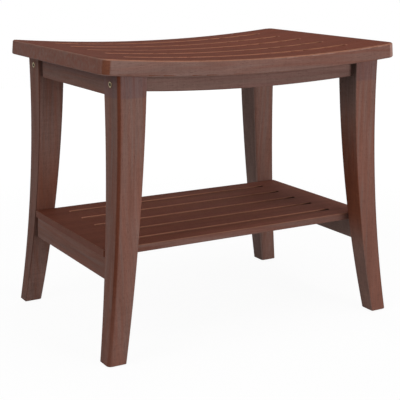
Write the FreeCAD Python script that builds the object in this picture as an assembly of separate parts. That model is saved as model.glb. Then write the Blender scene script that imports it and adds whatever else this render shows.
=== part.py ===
import FreeCAD, Part
import math
import os

# Shower bench: a bent, slotted seat on four sabre legs, with a slotted shelf between the two end frames.
# Millimetres. +X runs along the bench, +Y to the back, +Z up, origin on the floor under the middle.

Vector = FreeCAD.Vector
UP = Vector(0, 0, 1)

# Seat board
seat_length = 526.0
seat_depth = 373.0
seat_thickness = 23.8
seat_dip = 12.7
seat_end_height = 461.4
seat_corner_radius = 14.0
seat_edge_radius = 3.0
seat_slot_count = 5
seat_slot_end_margin = 62.0
seat_slot_side_margin = 54.5
seat_slot_width = 8.0
seat_slot_edge_radius = 1.6
seat_strip_count = 8

# Legs: the seat's overhang, their splay below it, their widths, and how far their faces curve in
seat_end_overhang = 26.4
seat_side_overhang = 8.2
leg_end_splay = 29.4
leg_side_splay = 9.7
leg_foot_length = 30.9
leg_foot_depth = 30.2
leg_top_length = 47.3
leg_top_depth = 49.8
leg_end_hollow = 8.5
leg_front_hollow = 4.9
leg_outer_radius = 8.0
leg_inner_radius = 5.0
leg_edge_radius = 2.0
leg_foot_chamfer = 0.5

# Rails under the seat
apron_height = 23.0
apron_thickness = 28.0
apron_setback = 12.6
upper_rail_height = 33.2
upper_rail_thickness = 20.0
upper_rail_setback = 5.0
rail_edge_radius = 1.5
rail_end_radius = 7.0

# Shelf and the rails that carry it
shelf_top_height = 170.4
shelf_thickness = 12.0
shelf_end_reach = 1.0
shelf_corner_radius = 4.0
shelf_edge_radius = 1.5
shelf_leg_clearance = 0.6
shelf_slot_count = 5
shelf_slot_end_margin = 49.0
shelf_slot_side_margin = 37.0
shelf_slot_width = 8.0
shelf_slot_edge_radius = 1.2
shelf_overhang = 2.5
lower_rail_height = 36.0
lower_rail_thickness = 19.0

# Bolts through the legs into the aprons, and their cross nuts
bolt_head_diameter = 9.5
bolt_head_thickness = 3.0
bolt_head_proud = 0.4
bolt_diameter = 6.0
bolt_socket_width = 4.0
bolt_socket_depth = 2.0
bolt_hole_clearance = 0.3
barrel_nut_diameter = 10.0
barrel_nut_length = 14.0
barrel_nut_inset = 25.0
barrel_nut_slot_width = 1.4
barrel_nut_slot_depth = 1.6
bolt_past_nut = 1.5
hardware_clearance = 0.15

# Dowels that join the rails to the legs
dowel_diameter = 8.0
dowel_length = 30.0
dowel_in_leg = 13.0
dowel_chamfer = 1.0
dowel_edge_distance = 10.0
dowel_end_clearance = 0.8

# Screws from below into the seat and the shelf
screw_diameter = 4.5
screw_head_diameter = 8.5
screw_head_thickness = 3.0
screw_crown_share = 0.7
screw_rim_share = 0.4
screw_point_length = 6.0
screw_leg_distance = 48.0
seat_screw_length = 38.0
seat_screw_bite = 14.0
shelf_screw_length = 30.0
shelf_screw_bite = 7.5
screw_clearance = 0.3

# Foot glides and their nails
glide_diameter = 17.0
glide_height = 2.0
glide_edge_radius = 1.0
nail_diameter = 2.4
nail_length = 16.0
nail_head_diameter = 6.0
nail_head_thickness = 0.8
nail_recess = 0.5
nail_point_length = 3.0

# Seat curve: the arcs of the top and the underside share one axis, parallel to Y, above the bench
half_seat = seat_length / 2
seat_radius = (half_seat ** 2 + seat_dip ** 2) / (2 * seat_dip)
under_radius = seat_radius + seat_thickness
seat_axis_height = seat_end_height - seat_dip + seat_radius

# Outside sizes over a pair of legs, under the seat and at the floor
top_spread_length = seat_length - 2 * seat_end_overhang
top_spread_depth = seat_depth - 2 * seat_side_overhang
foot_spread_length = top_spread_length + 2 * leg_end_splay
foot_spread_depth = top_spread_depth + 2 * leg_side_splay

# A length past every part of the bench, for cutters
reach = seat_length + seat_depth + seat_end_height

# A direction within this many degrees of another counts as lying along it
direction_tolerance = 20.0
ALONG = math.cos(math.radians(direction_tolerance))
ACROSS = math.sin(math.radians(direction_tolerance))

HEX = 6


def arc_height(radius, x):
    """Height of an arc about the seat's axis at a distance x from the middle of the bench."""
    return seat_axis_height - math.sqrt(radius ** 2 - x ** 2)


class HollowFace:
    """One long face of a leg: an arc from the foot to the top that curves in towards the bench."""

    def __init__(self, at_foot, at_top, hollow, foot_height, top_height):
        self.foot = Vector(at_foot, foot_height)
        self.top = Vector(at_top, top_height)
        chord = self.top - self.foot
        outward = Vector(chord.y, -chord.x).normalize()
        middle = (self.foot + self.top) * 0.5
        self.middle = middle - outward * hollow
        self.radius = (chord.Length ** 2 / 4 + hollow ** 2) / (2 * hollow)
        self.centre = self.middle + outward * self.radius

    def at(self, height):
        """Distance of the face from the middle of the bench at a height."""
        return self.centre.x - math.sqrt(self.radius ** 2 - (height - self.centre.y) ** 2)


# Outer and inner faces of a leg, seen from the front (along the bench) and from the end (across it)
leg_top_height = arc_height(under_radius, top_spread_length / 2)


def leg_faces(foot_spread, top_spread, foot_width, top_width, hollow):
    """Outer and inner face of a leg in one of its two upright planes."""
    outer = HollowFace(foot_spread / 2, top_spread / 2, hollow, glide_height, leg_top_height)
    inner = HollowFace(foot_spread / 2 - foot_width, top_spread / 2 - top_width, hollow,
                       glide_height, leg_top_height)
    return outer, inner


end_face, inner_end_face = leg_faces(foot_spread_length, top_spread_length,
                                     leg_foot_length, leg_top_length, leg_end_hollow)
front_face, inner_front_face = leg_faces(foot_spread_depth, top_spread_depth,
                                         leg_foot_depth, leg_top_depth, leg_front_hollow)

# Places of the rails and feet, worked out from the legs, the seat and the shelf
apron_outer = top_spread_depth / 2 - apron_setback
apron_middle = apron_outer - apron_thickness / 2
apron_bottom_radius = under_radius + apron_height
upper_rail_outer = top_spread_length / 2 - upper_rail_setback
upper_rail_middle = upper_rail_outer - upper_rail_thickness / 2
upper_rail_bottom = arc_height(under_radius, upper_rail_outer) - upper_rail_height
shelf_bottom_height = shelf_top_height - shelf_thickness
shelf_length = 2 * (end_face.at(shelf_top_height) + shelf_end_reach)
shelf_depth = 2 * (inner_front_face.at(shelf_top_height) - shelf_leg_clearance)
lower_rail_outer = shelf_length / 2 - shelf_overhang
lower_rail_middle = lower_rail_outer - lower_rail_thickness / 2
lower_rail_bottom = shelf_bottom_height - lower_rail_height

foot_centre_x = (foot_spread_length - leg_foot_length) / 2
foot_centre_y = (foot_spread_depth - leg_foot_depth) / 2

# Bolt line: the middle of the apron's section where it meets the leg
apron_middle_radius = under_radius + apron_height / 2
apron_end_x = inner_end_face.at(arc_height(apron_middle_radius, top_spread_length / 2 - leg_top_length))
bolt_height = arc_height(apron_middle_radius, apron_end_x)
bolt_face_x = end_face.at(bolt_height)
barrel_nut_x = apron_end_x - barrel_nut_inset
bolt_tip_x = barrel_nut_x - barrel_nut_diameter / 2 - bolt_past_nut

# Drain slots: their lengths and the distance from one to the next
seat_slot_length = seat_length - 2 * seat_slot_end_margin
seat_slot_pitch = (seat_depth - 2 * seat_slot_side_margin) / (seat_slot_count - 1)
shelf_slot_length = shelf_length - 2 * shelf_slot_end_margin
shelf_slot_pitch = (shelf_depth - 2 * shelf_slot_side_margin) / (shelf_slot_count - 1)

SIDES = {"left": -1, "right": 1}
ROWS = {"front": -1, "rear": 1}
CORNERS = [(row, side) for row in ROWS for side in SIDES]


def cylinder(radius, length, base, direction):
    return Part.makeCylinder(radius, length, base, direction)


def revolved(points, centre, direction):
    """Solid of revolution from (radius, height) points about an axis through a point."""
    outline = [Vector(radius, 0, height) for radius, height in points]
    face = Part.Face(Part.makePolygon(outline + outline[:1]))
    solid = face.revolve(Vector(), UP, 360)
    solid.Placement = FreeCAD.Placement(centre, FreeCAD.Rotation(UP, direction))
    return solid


def arc_band(inner_radius, outer_radius, half_width, y_low, y_high):
    """Curved band between two arcs about the seat's axis, its ends square to the curve, extruded across."""
    corners = []
    for radius in (inner_radius, outer_radius):
        x = half_width * radius / inner_radius
        corners.append((Vector(-x, y_low, arc_height(radius, x)),
                        Vector(0, y_low, arc_height(radius, 0)),
                        Vector(x, y_low, arc_height(radius, x))))
    top, bottom = corners
    edges = [Part.Arc(*top).toShape(),
             Part.LineSegment(top[2], bottom[2]).toShape(),
             Part.Arc(bottom[2], bottom[1], bottom[0]).toShape(),
             Part.LineSegment(bottom[0], top[0]).toShape()]
    return Part.Face(Part.Wire(edges)).extrude(Vector(0, y_high - y_low, 0))


def stadium(length, width, y, z_low, z_high):
    """Upright slot cutter with round ends, along X."""
    half = (length - width) / 2
    low, high = y - width / 2, y + width / 2
    edges = [Part.LineSegment(Vector(-half, low, z_low), Vector(half, low, z_low)).toShape(),
             Part.Arc(Vector(half, low, z_low), Vector(half + width / 2, y, z_low),
                      Vector(half, high, z_low)).toShape(),
             Part.LineSegment(Vector(half, high, z_low), Vector(-half, high, z_low)).toShape(),
             Part.Arc(Vector(-half, high, z_low), Vector(-half - width / 2, y, z_low),
                      Vector(-half, low, z_low)).toShape()]
    return Part.Face(Part.Wire(edges)).extrude(UP * (z_high - z_low))


def slot_places(count, pitch):
    return [(i - (count - 1) / 2) * pitch for i in range(count)]


def edges_on_face(shape, test):
    """Edges of every face whose middle and normal satisfy a test."""
    found = []
    for face in shape.Faces:
        u_low, u_high, v_low, v_high = face.ParameterRange
        normal = face.normalAt((u_low + u_high) / 2, (v_low + v_high) / 2)
        if test(face, normal):
            found.extend(face.Edges)
    return found


def upward_edges(shape, height):
    """Edges round the faces that look up and lie above a height."""
    return edges_on_face(shape, lambda face, normal: normal.z > ALONG and face.CenterOfMass.z > height)


def downward_edges(shape, height):
    """Edges round the faces that look down and lie below a height."""
    return edges_on_face(shape, lambda face, normal: normal.z < -ALONG and face.CenterOfMass.z < height)


def screw(length, base, direction):
    """Pan-head wood screw from the underside of its head, with a tapering point."""
    head = screw_head_diameter / 2
    shank = screw_diameter / 2
    outline = [(0, -screw_head_thickness), (head * screw_crown_share, -screw_head_thickness),
               (head, -screw_head_thickness * screw_rim_share), (head, 0), (shank, 0),
               (shank, length - screw_point_length), (0, length)]
    return revolved(outline, base, direction)


def screw_hole(length, base, direction, mouth):
    """Clearance hole for a screw, with a counterbore for its head that opens at a distance below it."""
    bore = cylinder(screw_diameter / 2 + screw_clearance, length + screw_clearance, base, direction)
    head = cylinder(screw_head_diameter / 2 + screw_clearance, mouth, base, direction * -1)
    return bore.fuse(head)


def screw_places(x, height):
    """Underside of the head of each of four screws in a pair of rails, at a distance from the legs."""
    y = inner_front_face.at(height) - screw_leg_distance
    return [Vector(side * x, row * y, height) for side in SIDES.values() for row in ROWS.values()]


def seat_screw_places():
    rail_top = arc_height(under_radius, upper_rail_middle)
    return screw_places(upper_rail_middle, rail_top + seat_screw_bite - seat_screw_length)


def shelf_screw_places():
    return screw_places(lower_rail_middle, shelf_bottom_height + shelf_screw_bite - shelf_screw_length)


def in_strips(board):
    """Board with its long curved faces divided crosswise, so that a mesh keeps to the curve."""
    span = seat_length + 2 * seat_thickness
    width = span / seat_strip_count
    starts = [i * width - span / 2 for i in range(seat_strip_count)]
    strips = [board.common(Part.makeBox(width, reach, reach, Vector(x, -reach / 2, 0))) for x in starts]
    return strips[0].multiFuse(strips[1:])


def seat_panel():
    board = arc_band(seat_radius, under_radius, half_seat, -seat_depth / 2, seat_depth / 2)
    corner_edges = [edge for edge in board.Edges if edge.Length < 2 * seat_thickness
                    and abs(edge.CenterOfMass.x) > half_seat - seat_corner_radius
                    and abs(edge.tangentAt(edge.FirstParameter).y) < ACROSS]
    board = board.makeFillet(seat_corner_radius, corner_edges)
    middle = arc_height(seat_radius + seat_thickness / 2, 0)
    rim = upward_edges(board, middle) + downward_edges(board, seat_end_height)
    board = board.makeFillet(seat_edge_radius, rim)
    low = arc_height(under_radius, 0) - seat_thickness
    high = seat_end_height + seat_thickness
    for y in slot_places(seat_slot_count, seat_slot_pitch):
        board = board.cut(stadium(seat_slot_length, seat_slot_width, y, low, high))
    field = (seat_slot_count - 1) / 2 * seat_slot_pitch + seat_slot_width
    rims = [edge for edge in upward_edges(board, middle)
            if abs(edge.CenterOfMass.y) < field and abs(edge.CenterOfMass.x) < seat_slot_length / 2]
    board = board.makeFillet(seat_slot_edge_radius, rims)
    for place in seat_screw_places():
        board = board.cut(screw_hole(seat_screw_length, place, UP, screw_head_thickness))
    return in_strips(board)


def shelf_panel():
    corner = Vector(-shelf_length / 2, -shelf_depth / 2, shelf_bottom_height)
    board = Part.makeBox(shelf_length, shelf_depth, shelf_thickness, corner)
    uprights = [edge for edge in board.Edges if abs(edge.tangentAt(edge.FirstParameter).z) > ALONG]
    board = board.makeFillet(shelf_corner_radius, uprights)
    board = board.makeFillet(shelf_edge_radius, upward_edges(board, shelf_bottom_height)
                             + downward_edges(board, shelf_top_height))
    for y in slot_places(shelf_slot_count, shelf_slot_pitch):
        board = board.cut(stadium(shelf_slot_length, shelf_slot_width, y,
                                  shelf_bottom_height - shelf_thickness, shelf_top_height + shelf_thickness))
    field = (shelf_slot_count - 1) / 2 * shelf_slot_pitch + shelf_slot_width
    rims = [edge for edge in upward_edges(board, shelf_bottom_height)
            if abs(edge.CenterOfMass.y) < field and abs(edge.CenterOfMass.x) < shelf_slot_length / 2]
    board = board.makeFillet(shelf_slot_edge_radius, rims)
    for place in shelf_screw_places():
        board = board.cut(screw_hole(shelf_screw_length, place, UP, screw_head_thickness))
    return board


def leg_template(outer, inner, lift):
    """Flat outline of a leg between its outer and inner face; lift turns plane points into space."""
    edges = [Part.Arc(lift(outer.foot), lift(outer.middle), lift(outer.top)).toShape(),
             Part.LineSegment(lift(outer.top), lift(inner.top)).toShape(),
             Part.Arc(lift(inner.top), lift(inner.middle), lift(inner.foot)).toShape(),
             Part.LineSegment(lift(inner.foot), lift(outer.foot)).toShape()]
    return Part.Face(Part.Wire(edges))


def leg_blank(side, row):
    """Leg with sharp edges: one outline cut from the front, one from the end, trimmed under the seat."""
    from_front = leg_template(end_face, inner_end_face, lambda p: Vector(side * p.x, 0, p.y))
    from_end = leg_template(front_face, inner_front_face, lambda p: Vector(0, row * p.x, p.y))
    along = from_end.extrude(Vector(side * reach, 0, 0))
    across = from_front.extrude(Vector(0, row * reach, 0))
    return across.common(along).cut(above_underside())


def long_edge(body, side, row, along_face, across_face):
    """Long edge of a leg where two of its faces meet."""
    height = (glide_height + leg_top_height) / 2
    corner = Part.Vertex(side * along_face.at(height), row * across_face.at(height), height)
    return min(body.Edges, key=lambda edge: edge.distToShape(corner)[0])


def rounded_leg(side, row):
    """Leg with a broad rounding on its outermost edge, a lesser one on the innermost, the others eased."""
    body = leg_blank(side, row)
    roundings = [(leg_outer_radius, end_face, front_face),
                 (leg_inner_radius, inner_end_face, inner_front_face),
                 (leg_edge_radius, end_face, inner_front_face),
                 (leg_edge_radius, inner_end_face, front_face)]
    for radius, along_face, across_face in roundings:
        body = body.makeFillet(radius, [long_edge(body, side, row, along_face, across_face)])
    return body


def above_underside():
    """The space over the seat's underside, to trim what stands below it."""
    return arc_band(seat_radius / 2, under_radius, half_seat / 2, -reach, reach)


def bolt_place(side, row):
    """Centre of the outside of a bolt's head."""
    return Vector(side * (bolt_face_x + bolt_head_proud), row * apron_middle, bolt_height)


def inward(side):
    return Vector(-side, 0, 0)


def leg(side, row):
    body = rounded_leg(side, row)
    foot_rim = downward_edges(body, 2 * glide_height)
    body = body.makeChamfer(leg_foot_chamfer, foot_rim)
    head = bolt_place(side, row)
    head_seat = head + inward(side) * bolt_head_thickness
    head_radius = bolt_head_diameter / 2 + bolt_hole_clearance
    shank_radius = bolt_diameter / 2 + bolt_hole_clearance
    body = body.cut(cylinder(head_radius, reach, head_seat, inward(side) * -1))
    body = body.cut(cylinder(shank_radius, leg_top_length * 2, head_seat, inward(side)))
    for height, x in dowel_lines(side):
        body = body.cut(dowel_hole(x, row, height))
    nail = Vector(side * foot_centre_x, row * foot_centre_y, 0)
    return body.cut(cylinder(nail_diameter / 2 + hardware_clearance, nail_length + nail_recess, nail, UP))


def dowel_lines(side):
    """Height and place along the bench of each dowel at one leg."""
    upper = arc_height(under_radius, upper_rail_middle) - dowel_edge_distance
    return [(upper_rail_bottom + dowel_edge_distance, side * upper_rail_middle),
            (upper, side * upper_rail_middle),
            (lower_rail_bottom + dowel_edge_distance, side * lower_rail_middle),
            (shelf_bottom_height - dowel_edge_distance, side * lower_rail_middle)]


def dowel_start(x, row, height):
    """End of a dowel inside its leg."""
    return Vector(x, row * (inner_front_face.at(height) + dowel_in_leg), height)


def dowel_hole(x, row, height):
    start = dowel_start(x, row, height) + Vector(0, row * dowel_end_clearance, 0)
    length = dowel_length + 2 * dowel_end_clearance
    return cylinder(dowel_diameter / 2 + hardware_clearance, length, start, Vector(0, -row, 0))


def dowel(x, row, height):
    radius = dowel_diameter / 2
    outline = [(0, 0), (radius - dowel_chamfer, 0), (radius, dowel_chamfer),
               (radius, dowel_length - dowel_chamfer), (radius - dowel_chamfer, dowel_length),
               (0, dowel_length)]
    return revolved(outline, dowel_start(x, row, height), Vector(0, -row, 0))


def between_legs(rail, blanks):
    """Rail trimmed to the inner faces of the legs that it joins."""
    for blank in blanks:
        rail = rail.cut(blank)
    middle = rail.BoundBox.Center
    return min(rail.Solids, key=lambda solid: solid.CenterOfMass.distanceToPoint(middle))


def long_lower_edges(rail, direction):
    """Lower edges of a rail that run along it."""
    edges = downward_edges(rail, seat_end_height)
    return [edge for edge in edges if abs(edge.tangentAt(edge.FirstParameter).dot(direction)) > ALONG]


def apron(row, blanks):
    y_low, y_high = sorted((row * apron_outer, row * (apron_outer - apron_thickness)))
    half_width = (top_spread_length - leg_top_length) / 2
    rail = arc_band(under_radius, apron_bottom_radius, half_width, y_low, y_high)
    rail = between_legs(rail, blanks)
    rail = rail.makeFillet(rail_edge_radius, long_lower_edges(rail, Vector(1, 0, 0)))
    for side in SIDES.values():
        start = Vector(side * apron_end_x, row * apron_middle, bolt_height) + inward(side) * -leg_top_length
        length = leg_top_length + apron_end_x - bolt_tip_x + bolt_past_nut
        rail = rail.cut(cylinder(bolt_diameter / 2 + bolt_hole_clearance, length, start, inward(side)))
        mouth = Vector(side * barrel_nut_x, row * (apron_middle - apron_thickness), bolt_height)
        depth = apron_thickness + barrel_nut_length / 2 + hardware_clearance
        nut_radius = barrel_nut_diameter / 2 + hardware_clearance
        rail = rail.cut(cylinder(nut_radius, depth, mouth, Vector(0, row, 0)))
    return rail


def outer_end_edges(rail, outer_x):
    """The two upright edges at the ends of a rail's outer side."""
    return [edge for edge in rail.Edges if abs(edge.CenterOfMass.x - outer_x) < rail_edge_radius
            and edge.BoundBox.ZLength > rail.BoundBox.ZLength / 2]


def end_rail(side, outer, thickness, bottom, top, blanks):
    x_low = min(side * outer, side * (outer - thickness))
    rail = Part.makeBox(thickness, 2 * foot_centre_y, top - bottom, Vector(x_low, -foot_centre_y, bottom))
    rail = between_legs(rail.cut(above_underside()), blanks)
    rail = rail.makeFillet(rail_end_radius, outer_end_edges(rail, side * outer))
    rail = rail.makeFillet(rail_edge_radius, long_lower_edges(rail, Vector(0, 1, 0)))
    for height, x in dowel_lines(side):
        if bottom < height < top:
            for row in ROWS.values():
                rail = rail.cut(dowel_hole(x, row, height))
    return rail


def upper_rail(side, blanks):
    rail = end_rail(side, upper_rail_outer, upper_rail_thickness,
                    upper_rail_bottom, seat_end_height, blanks)
    for place in seat_screw_places():
        rail = rail.cut(screw_hole(seat_screw_length, place, UP, upper_rail_height))
    return rail


def lower_rail(side, blanks):
    rail = end_rail(side, lower_rail_outer, lower_rail_thickness,
                    lower_rail_bottom, shelf_bottom_height, blanks)
    for place in shelf_screw_places():
        rail = rail.cut(screw_hole(shelf_screw_length, place, UP, lower_rail_height))
    return rail


def apron_bolt(side, row):
    head = bolt_head_diameter / 2
    shank = bolt_diameter / 2
    length = bolt_face_x + bolt_head_proud - bolt_tip_x
    ease = bolt_head_proud
    outline = [(0, 0), (head - ease, 0), (head, ease), (head, bolt_head_thickness),
               (shank, bolt_head_thickness), (shank, length - ease), (shank - ease, length), (0, length)]
    body = revolved(outline, bolt_place(side, row), inward(side))
    to_corner = bolt_socket_width / 2 / math.cos(math.pi / HEX)
    turns = [math.tau * i / HEX for i in range(HEX + 1)]
    corners = [Vector(0, to_corner * math.cos(turn), to_corner * math.sin(turn)) for turn in turns]
    socket = Part.Face(Part.makePolygon(corners)).extrude(inward(side) * bolt_socket_depth)
    socket.translate(bolt_place(side, row))
    return body.cut(socket)


def barrel_nut(side, row):
    centre = Vector(side * barrel_nut_x, row * apron_middle, bolt_height)
    start = centre - Vector(0, row * barrel_nut_length / 2, 0)
    body = cylinder(barrel_nut_diameter / 2, barrel_nut_length, start, Vector(0, row, 0))
    body = body.cut(cylinder(bolt_diameter / 2 + hardware_clearance, 2 * barrel_nut_diameter,
                             centre - inward(side) * barrel_nut_diameter, inward(side)))
    corner = Vector(centre.x - barrel_nut_diameter / 2, min(start.y, start.y + row * barrel_nut_slot_depth),
                    bolt_height - barrel_nut_slot_width / 2)
    return body.cut(Part.makeBox(barrel_nut_diameter, barrel_nut_slot_depth, barrel_nut_slot_width, corner))


def foot_glide(side, row):
    """Round pad with an eased rim and a sunk seat for the nail's head."""
    outer = glide_diameter / 2
    ease = glide_edge_radius
    bore = nail_diameter / 2 + hardware_clearance
    recess = nail_head_diameter / 2 + hardware_clearance
    recess_top = nail_recess + nail_head_thickness
    outline = [(bore, recess_top), (recess, recess_top), (recess, 0), (outer - ease, 0), (outer, ease),
               (outer, glide_height), (bore, glide_height)]
    return revolved(outline, Vector(side * foot_centre_x, row * foot_centre_y, 0), UP)


def glide_nail(side, row):
    head = nail_head_diameter / 2
    shank = nail_diameter / 2
    neck = nail_recess + nail_head_thickness
    outline = [(0, nail_recess), (head, nail_recess), (head, neck), (shank, neck),
               (shank, nail_length - nail_point_length), (0, nail_length)]
    return revolved(outline, Vector(side * foot_centre_x, row * foot_centre_y, 0), UP)


def dowels(low, high):
    """Dowels between two heights, at all four legs."""
    return Part.makeCompound([dowel(x, row, height) for side in SIDES.values() for row in ROWS.values()
                              for height, x in dowel_lines(side) if low < height < high])


def build():
    """Every node of the bench, by name."""
    blanks = {corner: leg_blank(SIDES[corner[1]], ROWS[corner[0]]) for corner in CORNERS}
    nodes = {"seat_panel": seat_panel(), "shelf_panel": shelf_panel()}
    for row, side in CORNERS:
        nodes[f"leg_{row}_{side}"] = leg(SIDES[side], ROWS[row])
        nodes[f"foot_glide_{row}_{side}"] = foot_glide(SIDES[side], ROWS[row])
    for row in ROWS:
        nodes[f"{row}_apron"] = apron(ROWS[row], [blanks[row, side] for side in SIDES])
    for side in SIDES:
        pair = [blanks[row, side] for row in ROWS]
        nodes[f"upper_rail_{side}"] = upper_rail(SIDES[side], pair)
        nodes[f"lower_rail_{side}"] = lower_rail(SIDES[side], pair)
    signs = [(SIDES[side], ROWS[row]) for row, side in CORNERS]
    nodes["apron_bolts"] = Part.makeCompound([apron_bolt(*sign) for sign in signs])
    nodes["barrel_nuts"] = Part.makeCompound([barrel_nut(*sign) for sign in signs])
    nodes["glide_nails"] = Part.makeCompound([glide_nail(*sign) for sign in signs])
    nodes["upper_rail_dowels"] = dowels(upper_rail_bottom, seat_end_height)
    nodes["lower_rail_dowels"] = dowels(lower_rail_bottom, shelf_bottom_height)
    nodes["seat_screws"] = Part.makeCompound([screw(seat_screw_length, place, UP)
                                              for place in seat_screw_places()])
    nodes["shelf_screws"] = Part.makeCompound([screw(shelf_screw_length, place, UP)
                                               for place in shelf_screw_places()])
    return nodes


os.makedirs("parts", exist_ok=True)
for name, shape in build().items():
    shape.exportStep(f"parts/{name}.step")
    print(f"{name}: {len(shape.Solids)} solid(s), {shape.Volume / 1000:.1f} cm3, valid {shape.isValid()}")
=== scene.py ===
import math
from collections import namedtuple
from dataclasses import dataclass
from functools import cached_property

import bpy
from bpy.props import FloatProperty, FloatVectorProperty, PointerProperty
from mathutils import Color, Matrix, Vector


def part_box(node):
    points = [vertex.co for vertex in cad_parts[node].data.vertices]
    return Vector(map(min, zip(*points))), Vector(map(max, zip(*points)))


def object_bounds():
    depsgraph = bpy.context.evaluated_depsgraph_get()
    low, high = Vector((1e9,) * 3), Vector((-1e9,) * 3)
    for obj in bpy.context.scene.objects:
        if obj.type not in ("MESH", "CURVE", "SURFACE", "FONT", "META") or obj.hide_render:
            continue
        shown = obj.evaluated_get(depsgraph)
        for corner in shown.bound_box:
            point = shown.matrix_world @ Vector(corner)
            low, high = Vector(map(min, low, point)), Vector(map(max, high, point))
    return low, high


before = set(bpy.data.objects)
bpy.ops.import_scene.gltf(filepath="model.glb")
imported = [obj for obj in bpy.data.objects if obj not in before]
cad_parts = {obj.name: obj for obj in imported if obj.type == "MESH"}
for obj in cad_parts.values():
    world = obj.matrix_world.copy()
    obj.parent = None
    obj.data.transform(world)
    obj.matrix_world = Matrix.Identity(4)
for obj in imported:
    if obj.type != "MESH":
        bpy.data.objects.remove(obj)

bl_info = {
    "name": "Shower Bench Finish",
    "version": (1, 0, 0),
    "blender": (4, 5, 0),
    "location": "View3D > Sidebar > Bench",
    "description": "Stains the wood of a shower bench, finishes its hardware and sets it on a white stage",
    "category": "Material",
}

CAD_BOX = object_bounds()

FRONT_LEGS = ("leg_front_left", "leg_front_right")
APRONS = ("front_apron", "rear_apron")
END_RAILS = ("upper_rail_left", "upper_rail_right", "lower_rail_left", "lower_rail_right")
GLIDES = ("foot_glide_front_left", "foot_glide_front_right", "foot_glide_rear_left", "foot_glide_rear_right")
DOWELS = ("upper_rail_dowels", "lower_rail_dowels")
FIXINGS = ("barrel_nuts", "seat_screws", "shelf_screws", "glide_nails")

# The slots of a board, in metres: how far they stay from its ends, how far the outer two stay from its long
# sides, and how round their rims are.
Slots = namedtuple("Slots", "board end_margin side_margin rim_radius")
SEAT_SLOTS = Slots("seat_panel", end_margin=0.062, side_margin=0.0545, rim_radius=0.0016)
SHELF_SLOTS = Slots("shelf_panel", end_margin=0.049, side_margin=0.037, rim_radius=0.0012)
SLOT_COUNT = 5
SLOT_WIDTH = 0.008
# The slots carry painted light and shade: a painted shadow over this length at their right ends, painted
# shade on their walls and painted light at their left ends.
SLOT_END_SHADOW_LENGTH = 0.022
SLOT_RIM_INSIDE = 0.0005
SLOT_RIM_OUTSIDE = 0.0001
SLOT_WALL_SHADE = 0.62
SLOT_LEFT_END_LIGHT = 1.5

# Most of the pairs below are limits: a finish changes smoothly from one look to another while a value passes
# from the first limit to the second.
WHOLE_SPAN = (0.0, 1.0)
NOISE_MEAN = 0.5

# Heights above the floor, in metres.
SHELF_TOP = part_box("shelf_panel")[1][2]
UPPER_RAIL_BOTTOM = 0.4015
# Heights that bound painted light: red bounce light from the shelf, the shadow under the seat, the shade in
# the recess by the aprons, the shade high on the inner faces and the red bounce light low on them.
SHELF_BOUNCE_START = (SHELF_TOP - 0.04, SHELF_TOP)
SHELF_BOUNCE_END = (SHELF_TOP + 0.02, SHELF_TOP + 0.14)
LEG_SHADOW_START = (UPPER_RAIL_BOTTOM - 0.002, UPPER_RAIL_BOTTOM + 0.002)
RAIL_SHADOW_START = (UPPER_RAIL_BOTTOM + 0.0105, UPPER_RAIL_BOTTOM + 0.0345)
RECESS_SHADE_START = (UPPER_RAIL_BOTTOM + 0.0025, UPPER_RAIL_BOTTOM + 0.0125)
INNER_SHADE_START = (UPPER_RAIL_BOTTOM - 0.0815, UPPER_RAIL_BOTTOM + 0.0185)
INNER_BOUNCE_START = (0.10, 0.18)
INNER_BOUNCE_END = (0.16, 0.40)
CORNER_START = (0.02, 0.16)

# Places along the bench, in metres to the right of its middle.
BOARD_SPAN = (-0.22, 0.22)
MIDDLE_SPAN = (-0.1, 0.1)

# Turns of a face: how far it looks along an axis, where 1 is straight along it.
UPPER_FACE = (0.80, 0.96)
SLANTING_FACE = (0.3, 0.6)
UPPER_EDGE = (0.18, 0.40)
END_EDGE = (0.25, 0.6)
END_GRAIN = (0.7, 0.9)
FLAT_FACE = (0.84, 0.988)
SEAT_CORNER_TURN = (0.02, 0.22)
SEAT_CORNER_FRONT = (0.44, 0.64)
SLOT_LEFT_END = (0.2, 0.5)
SLOT_RIGHT_END = (-0.5, -0.2)
SLOT_RIM = (0.0, 0.15)
SLOT_RIM_TOP = (0.2, 0.6)

# Outward turns of a face: its place along the bench times its turn that way, so that a face that looks at the
# middle of the bench is below 0.
INNER_FACE_END = (-0.16, -0.09)
CORNER_FACE_START = (-0.08, -0.02)
OUTER_FACE_START = (0.05, 0.15)

# How strongly the painted light and shade change at these places, and how far the bands push up the end of
# the painted red bounce light, in metres.
INNER_BOUNCE_BY_FOOT = 0.3
INNER_BOUNCE_RAGGED = 0.12
INNER_SHADE_SHARE = 0.8
INNER_SHADE_DEPTH = 0.45
CORNER_BY_FOOT = 0.6
EDGE_HIGHLIGHT_BY_END = 0.25

# The grain: lengths along it and widths across it, in metres, and how much each layer of it shows.
FIGURE_SIZE = (0.32, 0.024)
BAND_SIZE = (0.16, 0.006)
RIPPLE_SIZE = (0.0016, 0.02)
WANDER_WIDTH = 0.045
WANDER_STREAKS = 1.6
WANDER_SHIFT = 0.014
FIGURE_STRENGTH = 2.4
STREAK_STRENGTH = 2.0
RIPPLE_STRENGTH = 0.8
END_GRAIN_CALM = 0.4
END_GRAIN_WARMTH = 0.35
WARM_BANDS = (0.05, 0.65)
OPEN_PORES = (0.60, 0.70)
PORE_DARKNESS = 0.45
OIL_SPREAD = 0.16
OIL_GLOSS = 0.08
STREAK_RELIEF = 0.35
PORE_DEPTH = 0.00012
PORE_STRENGTH = 0.6

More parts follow.
